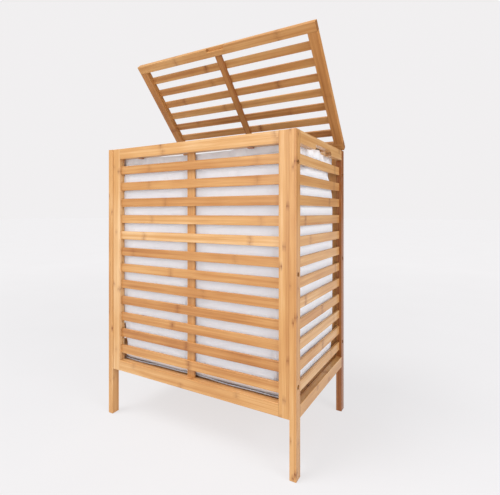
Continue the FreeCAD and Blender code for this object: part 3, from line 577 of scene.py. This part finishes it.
shares = [column / COLUMNS for column in range(COLUMNS)]
bottom_rings = [[bottom_point(t, n) for t in shares] for n in range(BOTTOM_RINGS - 1)]
side_rings = [[bag_point(t, row / ROWS) for t in shares] for row in range(ROWS + 1)]
mesh, made = joined(bottom_rings + side_rings)
centre = mesh.verts.new(BAG_MIDDLE + Vector((0, 0, BAG_BOTTOM)))
for index, vertex in enumerate(made[0]):
    mesh.faces.new((centre, made[0][(index + 1) % COLUMNS], vertex))


# %% Cotton
PLEAT_END = 0.50
PLEAT_LENGTH = 0.12
PLEAT_DEPTH = 5.0


def cotton(name, colour, thread=0.0006, crumple=0.0006):
    """Plain-woven cotton: crossing threads, slubs and a soft sheen."""
    material, tree, shader, place = new_material(name)
    slub = add(tree, "ShaderNodeTexNoise", {"Vector": place, "Scale": 90.0, "Detail": 4.0})
    blotch = add(tree, "ShaderNodeTexNoise", {"Vector": place, "Scale": 9.0, "Detail": 2.0})
    threads = []
    for axis in ((1, 1, 0), (0, 0, 1)):
        beat = FULL_TURN / thread
        lined = add(
            tree, "ShaderNodeVectorMath", {0: place, 1: tuple(beat * part for part in axis)},
            operation="DOT_PRODUCT",
        ).outputs["Value"]
        threads.append(calc(tree, "SINE", lined))
    weave = calc(tree, "MULTIPLY", *threads)
    level = calc(tree, "MULTIPLY_ADD", slub.outputs["Fac"], 0.5, 0.25)
    level = calc(tree, "SUBTRACT", level, 0.2)
    level = calc(tree, "MULTIPLY_ADD", blotch.outputs["Fac"], 0.4, level)
    level = calc(tree, "MULTIPLY_ADD", weave, 0.12, level)
    darker = tuple(0.93 * part for part in colour)
    tint = ramp(tree, level, [(0.25, darker), (0.75, colour)])
    tree.links.new(tint, shader.inputs["Base Color"])
    shader.inputs["Roughness"].default_value = 0.85
    shader.inputs["Specular IOR Level"].default_value = 0.2
    shader.inputs["Subsurface Weight"].default_value = 0.6
    shader.inputs["Subsurface Radius"].default_value = (1.0, 1.0, 1.0)
    shader.inputs["Subsurface Scale"].default_value = 0.004
    shader.inputs["Sheen Weight"].default_value = 0.25
    shader.inputs["Sheen Roughness"].default_value = 0.4
    relief = calc(tree, "MULTIPLY_ADD", slub.outputs["Fac"], 1.5, weave)
    fine = {"Height": relief, "Strength": 0.5, "Distance": 0.00012}
    soft = add(tree, "ShaderNodeTexNoise", {"Vector": place, "Scale": 38.0, "Detail": 3.0})
    upright = add(tree, "ShaderNodeMapping", {"Vector": place, "Scale": (95, 95, 5)}).outputs[0]
    pleats = add(tree, "ShaderNodeTexNoise", {"Vector": upright, "Scale": 1.0, "Detail": 1.0})
    height = add(tree, "ShaderNodeSeparateXYZ", {0: place}).outputs[2]
    fade = calc(tree, "MULTIPLY_ADD", height, 1 / PLEAT_LENGTH, -PLEAT_END / PLEAT_LENGTH)
    fade = calc(tree, "MINIMUM", calc(tree, "MAXIMUM", fade, 0.0), 1.0)
    fade = calc(tree, "MULTIPLY", fade, PLEAT_DEPTH)
    folds = calc(tree, "MULTIPLY_ADD", pleats.outputs["Fac"], fade, soft.outputs["Fac"])
    normal = add(tree, "ShaderNodeBump", fine).outputs[0]
    broad = {"Height": folds, "Strength": 0.7, "Distance": crumple, "Normal": normal}
    tree.links.new(add(tree, "ShaderNodeBump", broad).outputs[0], shader.inputs["Normal"])
    return material


bag_cotton = cotton("bag_cotton", (0.90, 0.915, 0.99))
hem_cotton = cotton("hem_cotton", (0.91, 0.925, 0.99), crumple=0.0003)
cord_cotton = cotton("cord_cotton", (0.84, 0.82, 0.82), thread=0.0012, crumple=0.0002)

# %% Hang the bag
bag = keep_mesh(mesh, "liner", bag_cotton)
pinned = bag.vertex_groups.new(name="pinned")
for vertex in bag.data.vertices:
    height = vertex.co.z
    below_rim = rim_height(vertex.co - BAG_MIDDLE) - height
    if below_rim < HEM or height < BAG_BOTTOM + SEWN_HEIGHT:
        pinned.add([vertex.index], 1.0, "REPLACE")


def only(piece):
    """Select one object and make it the active one."""
    bpy.ops.object.select_all(action="DESELECT")
    piece.select_set(True)
    bpy.context.view_layer.objects.active = piece


FORM_X = 0.2378
FORM_Y = 0.1368
FORM_HEIGHT = 0.7
FORM_MIDDLE_Z = 0.4
FORM_SKIN = 0.0006
GROWTH = 0.022
LAST_FRAME = 25
only(bag)
bpy.ops.mesh.primitive_cube_add(size=1, location=(*BAG_MIDDLE.xy, FORM_MIDDLE_Z))
form = bpy.context.object
form.scale = (2 * FORM_X, 2 * FORM_Y, FORM_HEIGHT)
bpy.ops.object.transform_apply(location=False, rotation=False, scale=True)
bpy.ops.object.modifier_add(type="COLLISION")
form.collision.thickness_outer = FORM_SKIN
form.collision.thickness_inner = FORM_SKIN
only(bag)
bpy.ops.object.modifier_add(type="CLOTH")
cloth = bag.modifiers["Cloth"]
cloth.settings.vertex_group_mass = "pinned"
cloth.settings.quality = 5
cloth.settings.mass = 0.12
cloth.settings.tension_stiffness = 12
cloth.settings.compression_stiffness = 12
cloth.settings.shear_stiffness = 5
cloth.settings.bending_stiffness = 0.25
cloth.settings.air_damping = 3
cloth.settings.shrink_min = -GROWTH
cloth.collision_settings.distance_min = 0.001
cloth.collision_settings.use_self_collision = False
for number in range(1, LAST_FRAME + 1):
    scene.frame_set(number)
only(bag)
bpy.ops.object.modifier_apply(modifier="Cloth")
bpy.data.objects.remove(form)
scene.frame_set(1)

# This keeps the cloth clear of the slats and the centre stiles, but not of the corner stiles.
for vertex in bag.data.vertices:
    flat = vertex.co.y - BAG_MIDDLE.y
    limit = room(vertex.co.x)
    vertex.co.y = BAG_MIDDLE.y + min(limit, max(-limit, flat))
    vertex.co.x = min(END_REACH, max(-END_REACH, vertex.co.x))
widest = [max(abs((v.co - BAG_MIDDLE)[axis]) for v in bag.data.vertices) for axis in (0, 1)]
print("the bag reaches", [round(reach, 4) for reach in widest])

# %% Thickness
only(bag)
for kind, values in (
    ("SUBSURF", {"levels": 1, "render_levels": 1}),
    ("SOLIDIFY", {"thickness": 0.001, "offset": -1}),
):
    bpy.ops.object.modifier_add(type=kind)
    modifier = bag.modifiers[-1]
    for key, value in values.items():
        setattr(modifier, key, value)
    bpy.ops.object.modifier_apply(modifier=modifier.name)

# %% [markdown]
# The hem is the cloth folded over twice, so it is a thicker band with a row of stitches
# near its lower edge. A piped seam runs round the bottom.

# %% Hem, piping and stitches
HEM_PROFILE = (
    (0.0012, -0.024), (0.0016, -0.022), (0.0016, -0.001), (0.0010, 0.0007), (0.0, 0.0012),
    (-0.0010, 0.0007), (-0.0016, -0.001), (-0.0016, -0.022), (-0.0012, -0.024),
)
HEM_COLUMNS = 480
hem_shares = [column / HEM_COLUMNS for column in range(HEM_COLUMNS)]
mesh, made = joined(
    [[bag_point(t, 1, proud, up) for t in hem_shares] for proud, up in HEM_PROFILE], True
)
hem = keep_mesh(mesh, "liner_hem", hem_cotton)


def bottom_wave(share):
    """How far the bottom seam rises or falls at a share of the way round."""
    slow = 0.0010 * math.sin(FULL_TURN * 5 * share + 1.0)
    return slow + 0.0006 * math.sin(FULL_TURN * 11 * share)


PIPE_RADIUS = 0.0013
PIPE_SIDES = 8
PIPE_PROUD = 0.003
PIPE_RISE = 0.002
pipe_rings = []
for side_number in range(PIPE_SIDES):
    angle = 2 * math.pi * side_number / PIPE_SIDES
    out_part, up_part = PIPE_RADIUS * math.cos(angle), PIPE_RADIUS * math.sin(angle)
    pipe_rings.append(
        [
            bag_point(t, 0, out_part + PIPE_PROUD, up_part + PIPE_RISE + bottom_wave(t))
            for t in hem_shares
        ]
    )
mesh, made = joined(pipe_rings, True)
piping = keep_mesh(mesh, "liner_piping", hem_cotton)

STITCH = 0.0030
STITCH_STEP = 0.0044
STITCH_RADIUS = 0.0004
STITCH_DEPTH = 0.0195
STITCH_SIDES = (0, 1.2566, 2.5133, 3.7699, 5.0265)
STITCH_SINK = 0.0003
stitch_mesh = bmesh.new()
count = round(BAG_ROUND / STITCH_STEP)
for face_sign in (1, -1):
    for number in range(count):
        t = number / count
        lie = [
            bag_point(
                t + part * STITCH / BAG_ROUND, 1, face_sign * HEM_HALF_THICKNESS, -STITCH_DEPTH
            )
            for part in (-0.5, -0.3, 0.3, 0.5)
        ]
        run = (lie[3] - lie[0]).normalized()
        out = outline(t)[1]
        up = Vector((0, 0, 1))
        loops = []
        for point, fat in zip(lie, (0.35, 1, 1, 0.35)):
            loops.append(
                [
                    stitch_mesh.verts.new(
                        point
                        + STITCH_RADIUS * fat * (out * math.cos(a) + up * math.sin(a))
                        - out * face_sign * (STITCH_SINK if fat < 1 else 0)
                    )
                    for a in STITCH_SIDES
                ]
            )
        for low, high in zip(loops, loops[1:]):
            for index in range(5):
                after = (index + 1) % 5
                stitch_mesh.faces.new((low[index], low[after], high[after], high[index]))
        stitch_mesh.faces.new(loops[0])
        stitch_mesh.faces.new(loops[3])
stitches = keep_mesh(stitch_mesh, "liner_stitches", cord_cotton)

# %% [markdown]
# The bag hangs by four loops of round cord. Each is sewn to the hem and goes round the neck
# of a wooden peg that points down from the front or back rail.

# %% Cord loops
PEG_X = 0.151
PEG_Y = 0.146
CORD_HEIGHT = 0.63135
CORD_RADIUS = 0.00055
CORD_BEND = 0.0047
HEM_REACH = 0.0139


def loop_path():
    """The cord's centre line round a peg at the origin, seen from above, the bag at +y."""
    bend = [math.pi * step / 14 for step in range(15)]
    arc = [(-CORD_BEND * math.cos(turn), -CORD_BEND * math.sin(turn)) for turn in bend]
    leg = [(1.06, HEM_REACH), (1.04, 0.0105), (1.02, 0.0070), (1.0, 0.0035)]
    left = [(-CORD_BEND * wide, y) for wide, y in leg]
    return left + arc + [(-x, y) for x, y in reversed(left)]


def cord_loop(name, sign_x, sign_y):
    """A loop of cord as a round tube along its path."""
    path = loop_path()
    rings = []
    for index, (x, y) in enumerate(path):
        before = Vector(path[max(0, index - 1)])
        after = Vector(path[min(len(path) - 1, index + 1)])
        run = (after - before).normalized()
        beside = Vector((-run.y, -sign_y * run.x, 0))
        centre = Vector((sign_x * PEG_X + x, sign_y * (PEG_Y - y), CORD_HEIGHT)) + BAG_MIDDLE
        ring = []
        for step in range(10):
            turn = 2 * math.pi * step / 10
            across = beside * math.cos(turn) + Vector((0, 0, math.sin(turn)))
            ring.append(centre + CORD_RADIUS * across)
        rings.append(ring)
    mesh, made = joined(rings)
    mesh.faces.new(made[0])
    mesh.faces.new(made[-1])
    return keep_mesh(mesh, name, cord_cotton)


loops = [
    cord_loop(f"liner_loop_{side}_{end}", sx, sy)
    for side, sx in (("left", -1), ("right", 1))
    for end, sy in (("front", -1), ("rear", 1))
]

# %% Join the bag to the frame
for piece in (bag, hem, piping, stitches, *loops):
    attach(piece, "hamper")
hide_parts("liner_bag")
